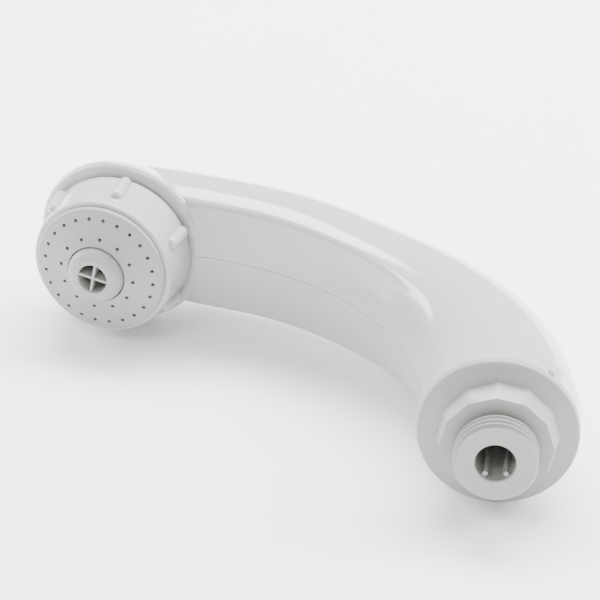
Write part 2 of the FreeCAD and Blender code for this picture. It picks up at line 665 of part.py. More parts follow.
EYE_R = NOZZLE_R + SLACK
drop = FACE_T / math.cos(math.atan(FACE_SLOPE))
face = turned([
    (EYE_R, face_height(EYE_R) - 3.6),
    (EYE_R, face_height(EYE_R)),
    (RIM_R - 0.8, face_height(RIM_R - 0.8)),
    (RIM_R, RIM_H, RIM_R - 0.15, RIM_H + 0.45),
    (RIM_R, COLLAR_FRONT),
    (SKIRT_R, COLLAR_FRONT),
    (SKIRT_R, COLLAR_FRONT - 4.5),
    (SKIRT_R - 1.4, COLLAR_FRONT - 4.5),
    (SKIRT_R - 1.4, face_height(SKIRT_R - 1.4) - drop),
    (EYE_R + 1.4, face_height(EYE_R + 1.4) - drop),
    (EYE_R + 1.4, face_height(EYE_R) - 3.6),
])
holes = []
for count, radius, start in ((OUTER_HOLES, OUTER_RING_R, OUTER_TURN), (INNER_HOLES, INNER_RING_R, INNER_TURN)):
    for i in range(count):
        px, py = polar(radius, start + 360.0 / count * i)
        holes.append(rod(FACE_HOLE_R, COLLAR_FRONT - 2, MOUTH_H, px, py))
face = face.cut(holes)
parts["spray_face"] = moved(face, AT_HEAD)

# ---------------------------------------------------------------- sprung pieces
cup_x, cup_y = polar(PORT_RING_R, SEAL_TURN)
cup_low = PLATE_TOP - 4.5
cup = turned([
    (0.9, cup_low + 1.2),
    (0.9, PLATE_TOP),
    (CUP_R - 0.3, PLATE_TOP),
    (CUP_R, PLATE_TOP - 0.3),
    (CUP_R, cup_low),
    (CUP_R - 0.8, cup_low),
    (CUP_R - 0.8, cup_low + 1.2),
])
cup.translate(V(cup_x, cup_y, 0))
parts["seal_cup"] = moved(cup, AT_HEAD)
cup_spring = coil(1.15, 0.25, POCKET_LOW + SNUG, cup_low + 1.2 - SNUG, 4)
cup_spring.translate(V(cup_x, cup_y, 0))
parts["seal_spring"] = moved(cup_spring, AT_HEAD)

pin_x, pin_y = polar(PORT_RING_R, PIN_TURN)
pin_low = PLATE_TOP - 4.5
pin = turned([
    (0, pin_low),
    (PIN_R, pin_low),
    (PIN_R, PLATE_TOP - 0.8),
    (PIN_R - 0.8, PLATE_TOP),
    (0, PLATE_TOP),
])
pin.translate(V(pin_x, pin_y, 0))
parts["detent_pin"] = moved(pin, AT_HEAD)
pin_spring = coil(0.85, 0.22, POCKET_LOW + SNUG, pin_low - SNUG, 4)
pin_spring.translate(V(pin_x, pin_y, 0))
parts["detent_spring"] = moved(pin_spring, AT_HEAD)

# ---------------------------------------------------------------- hand over
# the row's origin is the middle of the foot of the whole handset
whole = FreeCAD.BoundBox()
for shape in parts.values():
    whole.add(shape.optimalBoundingBox(False))
shift = V(-whole.Center.x, -whole.Center.y, -whole.ZMin)
print("shift", shift.x, shift.y, shift.z, "size", whole.XLength, whole.YLength, whole.ZLength)
for name, shape in parts.items():
    body = shape.copy()
    body.translate(shift)
    print(name, body.isValid(), len(body.Solids), round(body.Volume, 1))
    body.exportStep("parts/" + name + ".step")
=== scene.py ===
import json
import math

import bmesh
import bpy
import numpy as np
from mathutils import Matrix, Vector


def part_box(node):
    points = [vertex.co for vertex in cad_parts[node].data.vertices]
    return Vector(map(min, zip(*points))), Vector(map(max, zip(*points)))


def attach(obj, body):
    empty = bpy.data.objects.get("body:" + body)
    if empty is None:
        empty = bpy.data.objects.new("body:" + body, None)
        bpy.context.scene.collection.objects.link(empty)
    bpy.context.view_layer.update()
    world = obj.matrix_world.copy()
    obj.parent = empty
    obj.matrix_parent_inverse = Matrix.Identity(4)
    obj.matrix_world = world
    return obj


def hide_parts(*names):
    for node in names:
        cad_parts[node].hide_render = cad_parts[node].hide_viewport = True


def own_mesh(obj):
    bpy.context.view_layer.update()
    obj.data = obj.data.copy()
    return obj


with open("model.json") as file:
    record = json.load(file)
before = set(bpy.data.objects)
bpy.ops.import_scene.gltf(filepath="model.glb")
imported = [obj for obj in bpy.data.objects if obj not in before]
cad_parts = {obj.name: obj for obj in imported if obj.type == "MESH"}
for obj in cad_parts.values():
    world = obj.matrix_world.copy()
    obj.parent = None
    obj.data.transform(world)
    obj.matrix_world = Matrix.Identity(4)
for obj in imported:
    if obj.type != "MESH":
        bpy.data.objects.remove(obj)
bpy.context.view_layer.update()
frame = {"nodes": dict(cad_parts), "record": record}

bl_info = {
    "name": "Shower handset",
    "version": (1, 0, 0),
    "blender": (4, 5, 0),
    "location": "3D View > Sidebar > Handset",
    "description": "Builds a hooked shower handset: shells, seals, springs, finishes and a studio",
    "category": "Add Mesh",
}

# ------------------------------------------------------------------ the frame
RECORD = frame["record"]
TURN_JOINT = next(j for j in RECORD["behaviour"]["joints"] if j["name"] == "collar_turn")
THREAD_MOUNT = next(m for m in RECORD["mounts"] if m["name"] == "hose_thread")

MM = 0.001
PIVOT_AHEAD = 6.0         # the collar's pivot, ahead of the head's middle
THREAD_AHEAD = 10.5       # the middle of the thread, ahead of the flange
UPWARD = np.array([0.0, 0.0, 1.0])
SPRAY_WAY = np.array(TURN_JOINT["axis"])
HEAD_ACROSS = np.array([-SPRAY_WAY[1], SPRAY_WAY[0], 0.0])
HEAD_AT = np.array(TURN_JOINT["pos_m"]) / MM - PIVOT_AHEAD * SPRAY_WAY
END_WAY = np.array([0.0, -1.0, 0.0])
END_ACROSS = np.array([1.0, 0.0, 0.0])
END_AT = np.array(THREAD_MOUNT["pos_m"]) / MM - THREAD_AHEAD * END_WAY

# the hook, in millimetres from the head axis
SPLAY = math.asin(-SPRAY_WAY[0])
END_DEPTH = 20.0
BEND_R = 71.6
REACH = END_AT[0] - HEAD_AT[0]
RISE = HEAD_AT[1] - END_AT[1]
TURN = math.pi / 2 - SPLAY
CORNER_RUN = (REACH - END_DEPTH) / math.cos(SPLAY)
TANGENT = BEND_R * math.tan(TURN / 2)
RUN_HEAD = CORNER_RUN - TANGENT
RUN_ARC = BEND_R * TURN
SPINE_L = RUN_HEAD + RUN_ARC + RISE - CORNER_RUN * math.sin(SPLAY) - TANGENT
RING_L = 9.0

GRIP_R = 16.0
GRIP_DEPTH = 9.2
GRIP_THIN = 0.8
THIN_RUN = 22.0
FLAT_DEPTH = 1.2
FLAT_RISE = 0.12
CREASE = math.radians(116.3)
END_CREASE = math.radians(130.0)
CREASE_R = 2.2
CREASE_GROWTH = 1.5       # how much the crease's radius grows over the swell
EASE_LEAST = 1.2
SWELL_EVEN = 0.3          # share of the swell that comes evenly along the grip
FACE_START = 14.8         # where the inner face starts under the seat
START_DEPTH = 2.1         # depth at which that start begins to draw back
START_FADE = 14.6
POCKET_FLOOR = -6.95      # bottom of the springs' pockets, along the head's axis
SWELL_START = 55.0
NECK_R = 19.2
RING_R = 19.9
RING_FRONT = -2.1
RING_OPEN_R = 16.6
RING_EDGE = 0.2
NOTCH_TURN = math.radians(50.0)
NOTCH_HALF = math.radians(2.2)
NOTCH_FADE = math.radians(1.0)
NOTCH_DEPTH = 0.9
FLANGE_EDGE = 19.0        # where the flange's cone meets its rounded rim
FLANGE_ROOT = 14.6        # where the cone meets the boss
FLANGE_RISE = 1.5
LINE_START = 12.6         # the mould line starts under the boss
LINE_HALF = 0.10
LINE_RISE = 0.07
LINE_FADE = 0.4
LINE_WALL = 0.05
BOSS_R = 21.4
BOSS_FRONT = -0.6
BOSS_EDGE = 1.9
BOSS_OPEN_R = 14.6
BOSS_LIP = 2.0            # depth of the mouth's wall
MOUTH_EDGE = 0.15
BUTTON_EDGE = 0.16
BUTTON_SKIRT = 0.5        # how far a button's wall goes below its edge
TILT_TURN = 2.3           # the way a button leans, in radians
SKIN = 1.5


# ------------------------------------------------------------------ settings
class HandsetSizes(bpy.types.PropertyGroup):
    seam_width: bpy.props.FloatProperty(
        name="Seam width", description="Open line between the two half shells, in millimetres",
        default=0.14, min=0.0, max=0.6)
    seam_depth: bpy.props.FloatProperty(
        name="Seam depth", description="Depth of the line between the half shells, in millimetres",
        default=0.25, min=0.05, max=1.0)
    flare_radius: bpy.props.FloatProperty(
        name="Flare radius", description="How far the round seat runs out on to the grip, in millimetres",
        default=25.0, min=22.0, max=30.0)
    flare_height: bpy.props.FloatProperty(
        name="Flare height", description="Rise of the inner face at the round seat, in millimetres",
        default=0.55, min=0.0, max=2.0)
    plug_lift: bpy.props.FloatProperty(
        name="Plug lift", description="How far one edge of the flush plug stands proud, in millimetres",
        default=0.09, min=0.0, max=0.3)
    grip_steps: bpy.props.IntProperty(
        name="Grip steps", description="Rows of faces along the grip", default=230, min=40, max=400)
    grip_sides: bpy.props.IntProperty(
        name="Grip sides", description="Columns of faces round half the grip", default=96, min=24, max=160)


class HandsetColours(bpy.types.PropertyGroup):
    shell: bpy.props.FloatVectorProperty(
        name="Shell", description="Polished white plastic of the handle", subtype="COLOR",
        default=(0.42, 0.42, 0.425), min=0.0, max=1.0)
    face: bpy.props.FloatVectorProperty(
        name="Face", description="Satin plastic of the spray face and nozzle", subtype="COLOR",
        default=(0.315, 0.312, 0.298), min=0.0, max=1.0)
    connector: bpy.props.FloatVectorProperty(
        name="Connector", description="Satin plastic of the hose connector", subtype="COLOR",
        default=(0.30, 0.297, 0.283), min=0.0, max=1.0)


class HandsetStudio(bpy.types.PropertyGroup):
    azimuth: bpy.props.FloatProperty(
        name="Azimuth", description="Camera's turn about the upright axis",
        default=math.radians(3.0), subtype="ANGLE")
    elevation: bpy.props.FloatProperty(
        name="Elevation", description="Camera's height above the horizon",
        default=math.radians(30.3), subtype="ANGLE")
    lens: bpy.props.FloatProperty(
        name="Lens", description="Focal length in millimetres", default=1200.0, min=50.0, max=3000.0)
    scale: bpy.props.FloatProperty(
        name="Scale", description="Image points for one millimetre at the handset", default=4.137, min=0.5)
    light: bpy.props.FloatProperty(
        name="Light", description="Strength of all lamps together", default=1.3, min=0.0, max=5.0)


# ------------------------------------------------------------------ mesh helpers
def surface(name, points, flip=False):
    """Mesh from a grid of points in millimetres: each cell is a face, and points that coincide are joined."""
    rows, cols = points.shape[:2]
    index = np.arange(rows * cols).reshape(rows, cols)
    faces = np.stack([index[:-1, :-1], index[1:, :-1], index[1:, 1:], index[:-1, 1:]], -1).reshape(-1, 4)
    if flip:
        faces = faces[:, ::-1]
    mesh = bpy.data.meshes.new(name)
    mesh.from_pydata((points.reshape(-1, 3) * MM).tolist(), [], faces.tolist())
    work = bmesh.new()
    work.from_mesh(mesh)
    bmesh.ops.remove_doubles(work, verts=work.verts, dist=1e-7)
    bmesh.ops.dissolve_degenerate(work, edges=work.edges, dist=1e-8)
    work.to_mesh(mesh)
    work.free()
    mesh.polygons.foreach_set("use_smooth", np.ones(len(mesh.polygons), dtype=bool))
    piece = bpy.data.objects.new(name, mesh)
    bpy.context.scene.collection.objects.link(piece)
    return piece


def thicken(piece, depth):
    """Gives an open surface a wall, inwards."""
    wall = piece.modifiers.new("wall", "SOLIDIFY")
    wall.thickness = depth * MM
    wall.offset = -1.0
    wall.use_rim = True


def crisp(piece, degrees=32.0):
    """Smooth faces that break only at real corners."""
    split = piece.modifiers.new("corners", "EDGE_SPLIT")
    split.split_angle = math.radians(degrees)
    even = piece.modifiers.new("even", "WEIGHTED_NORMAL")
    even.keep_sharp = True


def place(piece, body, material):
    piece.data.materials.clear()
    piece.data.materials.append(material)
    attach(piece, body)


def smooth_step(value):
    part = np.clip(value, 0.0, 1.0)
    return part * part * (3 - 2 * part)


def arc_points(centre, radius, first, last, count):
    """Points on a circle of the profile plane between two angles in degrees."""
    turn = np.radians(np.linspace(first, last, count))
    return np.stack([centre[0] + radius * np.cos(turn), centre[1] + radius * np.sin(turn)], 1)


def dense(profile, step):
    """Profile with points added so that none are further apart than step."""
    profile = np.asarray(profile, dtype=float)
    gaps = np.linalg.norm(np.diff(profile, axis=0), axis=1)
    length = np.concatenate([[0.0], np.cumsum(gaps)])
    extra = np.concatenate([np.linspace(a, b, max(int(math.ceil((b - a) / step)), 1), endpoint=False)
                            for a, b in zip(length[:-1], length[1:])] + [[length[-1]]])
    return np.stack([np.interp(extra, length, profile[:, 0]), np.interp(extra, length, profile[:, 1])], 1)


def half_turned(profile, at, across, way, side, sizes, columns=181, dip=None):
    """Half a surface of revolution, with a shallow step where it meets the other half.

    A profile point (r, h) becomes at + h way + r cos(t) across + r sin(t) up for t from 0 to half a turn.
    Along the two open edges the surface steps in by the seam's depth and reaches the mid-plane there.
    """
    radius = profile[:, :1]
    height = profile[:, 1:]
    turn = np.linspace(0.0, math.pi, columns)[None, :]
    reach = radius + 0.0 * turn
    if dip is not None:
        reach = reach - dip(radius, height, turn)
    gap = np.minimum(sizes.seam_width / 2, reach)
    out = reach * np.cos(turn)
    up = np.maximum(reach * np.sin(turn), gap)
    inner = np.maximum(radius - sizes.seam_depth, 0.0)
    low = np.minimum(sizes.seam_width / 2, inner)
    out = np.concatenate([inner, inner, out, -inner, -inner], 1)
    up = np.concatenate([0 * low, low, up, low, 0 * low], 1) * side
    return at + height[..., None] * way + out[..., None] * across + up[..., None] * UPWARD


# ------------------------------------------------------------------ the grip
def spine(run):
    """Point on the spine and the way to the back of the hook, for an array of lengths along it."""
    straight = np.minimum(run, RUN_HEAD)
    heading = SPLAY + np.clip(run - RUN_HEAD, 0.0, RUN_ARC) / BEND_R
    last = np.maximum(run - RUN_HEAD - RUN_ARC, 0.0)
    x = HEAD_AT[0] + straight * math.cos(SPLAY) + BEND_R * (np.sin(heading) - math.sin(SPLAY))
    y = HEAD_AT[1] - straight * math.sin(SPLAY) - BEND_R * (math.cos(SPLAY) - np.cos(heading)) - last
    return x, y, np.sin(heading), np.cos(heading)


def grip_sizes(run):
    """Depth of the centre, radius, crease angle, depth of the inner face and share of the swell."""
    part = np.clip((run - SWELL_START) / (SPINE_L - RING_L - SWELL_START), 0.0, 1.0)
    swell = part * (SWELL_EVEN + (1 - SWELL_EVEN) * part * (3 - 2 * part))
    thin = GRIP_THIN * np.maximum(1 - run / THIN_RUN, 0.0) ** 2
    depth = GRIP_DEPTH + (END_DEPTH - GRIP_DEPTH) * swell
    radius = GRIP_R + (NECK_R - GRIP_R) * swell - thin
    crease = CREASE + (END_CREASE - CREASE) * swell
    flat = FLAT_DEPTH + (END_DEPTH - NECK_R - FLAT_DEPTH) * swell
    return depth, radius, crease, flat, swell


def circle_through(ax, ay, bx, by, cx, cy):
    """Centre of the circle through three points, for whole arrays of them."""
    twice = 2 * (ax * (by - cy) + bx * (cy - ay) + cx * (ay - by))
    a2, b2, c2 = ax ** 2 + ay ** 2, bx ** 2 + by ** 2, cx ** 2 + cy ** 2
    x = (a2 * (by - cy) + b2 * (cy - ay) + c2 * (ay - by)) / twice
    y = (a2 * (cx - bx) + b2 * (ax - cx) + c2 * (bx - ax)) / twice
    return x, y


def sweep(cx, cy, radius, first, last, part):
    """Point a share of the way round an arc from one angle to another, the short way."""
    span = np.mod(last - first + math.pi, 2 * math.pi) - math.pi
    angle = first + span * part
    return cx + radius * np.cos(angle), cy + radius * np.sin(angle)


FLARE_INNER_R = 20.3      # where the flare leaves the round seat
CREASE_UP = 14.3          # height of the crease above the mid-plane
FLARE_FADE = 2.2          # how gently the flare dies out below the crease
FLARE_POWER = 1.7
FACE_SHARE = 0.34
EASE_SHARE = 0.16


def grip_outline(run, share):
    """Depth and height of half the D-shaped section: inner face, eased crease, round back.

    The face is a shallow arc from the mid-plane and the back a circle about the centre of the grip. The
    crease is the quadratic curve from a point on one to a point on the other, drawn towards the corner where
    they meet.
    """
    depth, radius, crease, flat, swell = grip_sizes(run)
    corner_d = depth + radius * np.cos(crease)
    corner_u = radius * np.sin(crease)
    chord_d = corner_d - flat
    chord = np.hypot(chord_d, corner_u)
    rise = radius - np.sqrt(radius ** 2 - chord ** 2 / 4)
    bulge = (FLAT_RISE + (rise - FLAT_RISE) * swell) / chord
    mid_d = (flat + corner_d) / 2 - corner_u * bulge
    mid_u = corner_u / 2 + chord_d * bulge
    face_d, face_u = circle_through(flat, 0 * flat, mid_d, mid_u, corner_d, corner_u)
    face_r = np.hypot(face_d - corner_d, face_u - corner_u)
    low = np.arctan2(-face_u, flat - face_d)
    meet = np.arctan2(corner_u - face_u, corner_d - face_d)
    span = np.mod(meet - low + math.pi, 2 * math.pi) - math.pi
    bend = np.abs(crease - math.pi / 2 - meet) % math.pi
    bend = np.minimum(bend, math.pi - bend)
    ease = np.maximum(CREASE_R * (1 + CREASE_GROWTH * swell) * np.tan((math.pi / 2 - bend) / 2), EASE_LEAST)
    on_face = meet - np.sign(span) * ease / face_r
    on_back = crease - ease / radius
    back_start = EASE_SHARE + FACE_SHARE
    a = sweep(face_d, face_u, face_r, low, on_face, np.clip(share / FACE_SHARE, 0, 1))
    back_part = np.clip((share - back_start) / (1 - back_start), 0, 1)
    c = sweep(depth, 0 * depth, radius, on_back, 0 * depth, back_part)
    first = (face_d + face_r * np.cos(on_face), face_u + face_r * np.sin(on_face))
    last = (depth + radius * np.cos(on_back), radius * np.sin(on_back))
    part = np.clip((share - FACE_SHARE) / EASE_SHARE, 0, 1)
    b = [p * (1 - part) ** 2 + 2 * q * part * (1 - part) + r * part ** 2
         for p, q, r in zip(first, (corner_d, corner_u), last)]
    in_face, in_ease = share <= FACE_SHARE, share <= back_start
    return [np.where(in_face, p, np.where(in_ease, q, r)) for p, q, r in zip(a, b, c)]


def grip_half(side, sizes):
    """Half of the grip's skin: the section carried along the spine.

    A point is the spine's point at the run plus the outline's depth towards the back plus its height upwards.
    The face starts under the round seat and the back starts at the ball behind the head.
    """
    share = np.linspace(0.0, 1.0, sizes.grip_sides)[None, :]
    back_d, _ = grip_outline(np.zeros((1, 1)), share)
    start = FACE_START * np.clip(1 - (back_d - START_DEPTH) / START_FADE, 0.0, 1.0)
    along = np.linspace(0.0, 1.0, sizes.grip_steps)[:, None]
    run = start + (SPINE_L - RING_L - start) * along
    depth, up = grip_outline(run, share + 0 * along)
    from_axis = np.hypot(run, up)
    ramp = np.clip((sizes.flare_radius - from_axis) / (sizes.flare_radius - FLARE_INNER_R), 0.0, 1.0)
    on_face = smooth_step((CREASE_UP - up) / FLARE_FADE) * (share <= FACE_SHARE + EASE_SHARE)
    depth = depth - sizes.flare_height * ramp ** FLARE_POWER * on_face
    half_gap = sizes.seam_width / 2
    up = np.maximum(up, half_gap)
    edge = np.ones((sizes.grip_steps, 1))
    inner_d = depth[:, :1] + sizes.seam_depth
    outer_d = depth[:, -1:] - sizes.seam_depth
    depth = np.concatenate([inner_d, inner_d, depth, outer_d, outer_d], 1)
    up = np.concatenate([0 * edge, half_gap * edge, up, half_gap * edge, 0 * edge], 1)
    run = np.concatenate([run[:, :1], run[:, :1], run, run[:, -1:], run[:, -1:]], 1)
    x, y, back_x, back_y = spine(run)
    return np.stack([x + back_x * depth, y + back_y * depth, END_AT[2] + side * up], -1)


def grip_height(x, y):
    """Height of the grip's round back over a point of the mid-plane, from its run and depth on the spine."""
    along_x, along_y = math.cos(SPLAY), -math.sin(SPLAY)
    from_x, from_y = x - HEAD_AT[0], y - HEAD_AT[1]
    run_head = from_x * along_x + from_y * along_y
    depth_head = from_x * math.sin(SPLAY) + from_y * math.cos(SPLAY)
    start_x = HEAD_AT[0] + RUN_HEAD * along_x
    start_y = HEAD_AT[1] + RUN_HEAD * along_y
    centre_x, centre_y = start_x - BEND_R * math.sin(SPLAY), start_y - BEND_R * math.cos(SPLAY)
    heading = np.arctan2(x - centre_x, y - centre_y)
    run_arc = RUN_HEAD + BEND_R * (heading - SPLAY)
    depth_arc = np.hypot(x - centre_x, y - centre_y) - BEND_R
    end_x, end_y, _, _ = spine(np.array(RUN_HEAD + RUN_ARC))
    run_end = RUN_HEAD + RUN_ARC + end_y - y
    depth_end = x - end_x
    in_head = run_head < RUN_HEAD
    in_end = y < end_y
    run = np.where(in_head, run_head, np.where(in_end, run_end, run_arc))
    depth = np.where(in_head, depth_head, np.where(in_end, depth_end, depth_arc))
    centre, radius, _, _, _ = grip_sizes(run)
    return np.sqrt(np.maximum(radius ** 2 - (depth - centre) ** 2, 0.0))


def button(spot, radius, side, lift, tilt):
    """Round plug that follows the grip's surface.

    At distance p and angle t from its middle the surface is the grip's own height plus the lift, with a
    rounded edge that drops below the skin; the tilt raises one side.
    """
    flat = np.linspace(0.0, radius - BUTTON_EDGE, 20)
    bend = np.linspace(0.2, 1, 6) * math.pi / 2
    out = np.concatenate([flat, radius - BUTTON_EDGE + BUTTON_EDGE * np.sin(bend)])
    drop = np.concatenate([0 * flat, BUTTON_EDGE * (1 - np.cos(bend))])
    out = np.append(out, radius)[:, None]
    drop = np.append(drop, BUTTON_EDGE + BUTTON_SKIRT)[:, None]
    turn = np.linspace(0.0, 2 * math.pi, 73)[None, :]
    turn[0, -1] = 0.0
    x = spot[0] + out * np.cos(turn)
    y = spot[1] + out * np.sin(turn)
    lean = lift + tilt * (out / radius) * np.cos(turn - TILT_TURN)
    up = grip_height(x, y) + lean - drop
    return np.stack([x, y, END_AT[2] + side * up], -1)


def spring_coil(foot, way, ring_r, wire_r, length, turns):
    """Round-wire spring on an axis.

    The wire's centre runs round the axis at the ring's radius while it climbs, slowly over the first and last
    half turn and evenly between. Round that line lies a circle of the wire's radius, closed to a point at
    both ends.
    """
    steps = int(turns * 36)
    share = np.linspace(0.0, 1.0, steps)
    angle = 2 * math.pi * turns * share
    calm = 0.5 / turns
    climb = np.interp(share, [0.0, calm, 1 - calm, 1.0], [0.0, 0.25 * calm, 1 - 0.25 * calm, 1.0])
    side = np.cross(way, UPWARD)
    out = np.cos(angle)[:, None] * UPWARD + np.sin(angle)[:, None] * side
    centre = foot + ring_r * out + (wire_r + (length - 2 * wire_r) * climb)[:, None] * way
    centre = np.concatenate([centre[:1], centre, centre[-1:]])
    out = np.concatenate([out[:1], out, out[-1:]])
    wire = np.full((steps + 2, 1), wire_r)
    wire[[0, -1]] = 0.0
    round_wire = np.linspace(0.0, 2 * math.pi, 13)[None, :]
    round_wire[0, -1] = 0.0
    return (centre[:, None, :] + (wire * np.cos(round_wire))[..., None] * out[:, None, :]
            + (wire * np.sin(round_wire))[..., None] * way)


# ------------------------------------------------------------------ finishes
def new_material(name):
    material = bpy.data.materials.new(name)
    material.use_nodes = True
    nodes, links = material.node_tree.nodes, material.node_tree.links
    shader = nodes["Principled BSDF"]
    where = nodes.new("ShaderNodeTexCoord")
    return material, nodes, links, shader, where.outputs["Object"]


def noise(nodes, links, place_from, scale, detail=3.0, stretch=(1.0, 1.0, 1.0)):
    """Soft random pattern in object space; scale counts features in a metre."""
    spread = nodes.new("ShaderNodeMapping")
    spread.inputs["Scale"].default_value = stretch
    pattern = nodes.new("ShaderNodeTexNoise")
    pattern.inputs["Scale"].default_value = scale
    pattern.inputs["Detail"].default_value = detail
    links.new(place_from, spread.inputs["Vector"])
    links.new(spread.outputs["Vector"], pattern.inputs["Vector"])
    return pattern.outputs["Fac"]


def spread_to(nodes, links, value, low, high, start=0.3, end=0.7):
    span = nodes.new("ShaderNodeMapRange")
    span.inputs["From Min"].default_value = start
    span.inputs["From Max"].default_value = end
    span.inputs["To Min"].default_value = low
    span.inputs["To Max"].default_value = high
    links.new(value, span.inputs["Value"])
    return span.outputs["Result"]


def tint(nodes, links, value, colour, other):
    blend = nodes.new("ShaderNodeMix")
    blend.data_type = "RGBA"
    blend.inputs[6].default_value = (*colour, 1.0)
    blend.inputs[7].default_value = (*other, 1.0)
    links.new(value, blend.inputs[0])
    return blend.outputs[2]


def bump(nodes, links, shader, fields):
    """Chains bumps (height, strength, distance in metres) on to the shader's normal."""
    before = None
    for height, strength, distance in fields:
        relief = nodes.new("ShaderNodeBump")
        relief.inputs["Strength"].default_value = strength
        relief.inputs["Distance"].default_value = distance
        links.new(height, relief.inputs["Height"])
        if before is not None:
            links.new(before, relief.inputs["Normal"])
        before = relief.outputs["Normal"]
    links.new(before, shader.inputs["Normal"])


def shaded(colour, factor):
    return tuple(min(c * factor, 1.0) for c in colour)


def polished_white(colours):
    """Polished injection-moulded plastic: clear gloss, slight flow marks, fine rubbed scratches."""
    material, nodes, links, shader, at = new_material("polished_white")
    flow = noise(nodes, links, at, 14.0, 2.0)
    peel = noise(nodes, links, at, 260.0, 2.0)
    rub = noise(nodes, links, at, 900.0, 4.0, (0.12, 1.0, 1.0))
    marks = spread_to(nodes, links, flow, 0.0, 1.0)
    colour = tint(nodes, links, marks, tuple(colours.shell), shaded(colours.shell, 0.975))
    links.new(colour, shader.inputs["Base Color"])
    links.new(spread_to(nodes, links, rub, 0.10, 0.19, 0.35, 0.75), shader.inputs["Roughness"])
    bump(nodes, links, shader, [(flow, 0.05, 0.0006), (peel, 0.025, 0.00012), (rub, 0.012, 0.00004)])
    shader.inputs["IOR"].default_value = 1.53
    shader.inputs["Coat Weight"].default_value = 0.25
    shader.inputs["Coat Roughness"].default_value = 0.04
    return material


def satin_plastic(name, colour, grain=2400.0, roughness=0.40):
    """Fine-grained satin moulding with faint machine marks."""
    material, nodes, links, shader, at = new_material(name)
    cloud = noise(nodes, links, at, 60.0, 2.0)
    fine = noise(nodes, links, at, grain, 5.0)
    mark = noise(nodes, links, at, 700.0, 3.0, (1.0, 0.15, 1.0))
    blend = tint(nodes, links, spread_to(nodes, links, cloud, 0.0, 1.0), tuple(colour), shaded(colour, 0.95))
    links.new(blend, shader.inputs["Base Color"])
    links.new(spread_to(nodes, links, mark, roughness - 0.06, roughness + 0.08), shader.inputs["Roughness"])
    bump(nodes, links, shader, [(fine, 0.10, 0.00006), (cloud, 0.05, 0.0002)])
    shader.inputs["IOR"].default_value = 1.50
    return material


def seal_rubber():
    """Matt black rubber with a little bloom."""
    material, nodes, links, shader, at = new_material("seal_rubber")
    bloom = noise(nodes, links, at, 350.0, 3.0)
    share = spread_to(nodes, links, bloom, 0.0, 1.0)
    blend = tint(nodes, links, share, (0.018, 0.018, 0.018), (0.035, 0.034, 0.033))
    links.new(blend, shader.inputs["Base Color"])
    links.new(spread_to(nodes, links, bloom, 0.55, 0.7), shader.inputs["Roughness"])
    bump(nodes, links, shader, [(bloom, 0.1, 0.0001)])
    return material


def drawn_steel(name, tone, roughness):
    """Bright drawn or plated steel with lengthwise die marks."""
    material, nodes, links, shader, at = new_material(name)
    drawn = noise(nodes, links, at, 1800.0, 4.0, (1.0, 1.0, 0.1))
    cloud = noise(nodes, links, at, 200.0, 2.0)
    blend = tint(nodes, links, spread_to(nodes, links, cloud, 0.0, 1.0), tone, shaded(tone, 0.9))
    links.new(blend, shader.inputs["Base Color"])
    links.new(spread_to(nodes, links, drawn, roughness - 0.06, roughness + 0.1), shader.inputs["Roughness"])
    bump(nodes, links, shader, [(drawn, 0.08, 0.00003)])
    shader.inputs["Metallic"].default_value = 1.0
    return material


def tube_plastic():
    """Milky extruded tube."""
    material, nodes, links, shader, at = new_material("tube_plastic")
    haze = noise(nodes, links, at, 120.0, 2.0)
    share = spread_to(nodes, links, haze, 0.0, 1.0)
    blend = tint(nodes, links, share, (0.085, 0.085, 0.06), (0.065, 0.065, 0.05))
    links.new(blend, shader.inputs["Base Color"])
    links.new(spread_to(nodes, links, haze, 0.28, 0.36), shader.inputs["Roughness"])
    bump(nodes, links, shader, [(haze, 0.08, 0.0002)])
    return material


def studio_paper():
    material, nodes, links, shader, at = new_material("studio_paper")
    fibre = noise(nodes, links, at, 40.0, 3.0)
    share = spread_to(nodes, links, fibre, 0.0, 1.0)
    blend = tint(nodes, links, share, (0.97, 0.97, 0.97), (0.96, 0.96, 0.96))
    links.new(blend, shader.inputs["Base Color"])
    shader.inputs["Roughness"].default_value = 0.9
    shader.inputs["Specular IOR Level"].default_value = 0.1
    return material


FINISH = {}


def finish_for(slot):
    """The material of a record slot, made once."""
    colours = bpy.context.scene.handset_colours
    if slot not in FINISH:
        if slot == "white_gloss":
            FINISH[slot] = polished_white(colours)
        elif slot == "face_grey":
            FINISH[slot] = satin_plastic("satin_face", colours.face)
        elif slot == "connector_grey":
            FINISH[slot] = satin_plastic("satin_connector", colours.connector, 2000.0, 0.36)
        elif slot == "core_grey":
            FINISH[slot] = satin_plastic("core_plastic", (0.42, 0.42, 0.40), 1600.0, 0.45)
        elif slot == "tube_plastic":
            FINISH[slot] = tube_plastic()
        elif slot == "seal_rubber":
            FINISH[slot] = seal_rubber()
        elif slot == "screw_steel":
            FINISH[slot] = drawn_steel("plated_steel", (0.62, 0.62, 0.63), 0.28)
        elif slot == "spring_steel":
            FINISH[slot] = drawn_steel("spring_wire", (0.60, 0.60, 0.61), 0.22)
        else:
            raise ValueError("no finish for " + slot)
    return FINISH[slot]


# ------------------------------------------------------------------ operators
class HANDSET_OT_node_finishes(bpy.types.Operator):
    """Gives every CAD node its finish and evenly shaded faces"""
    bl_idname = "handset.node_finishes"
    bl_label = "Finish the CAD nodes"

    def execute(self, context):
        slots = {part["node"]: part["material_slot"] for part in RECORD["subparts"]}
        for name, node in frame["nodes"].items():
            material = finish_for(slots[name])
            node.data.materials.clear()
            node.data.materials.append(material)
            faces = node.data.polygons
            faces.foreach_set("use_smooth", np.ones(len(faces), dtype=bool))
            faces.foreach_set("material_index", np.zeros(len(faces), dtype=np.int32))
            join = node.modifiers.new("join", "WELD")
            join.merge_threshold = 1e-6
            crisp(node)
        return {"FINISHED"}


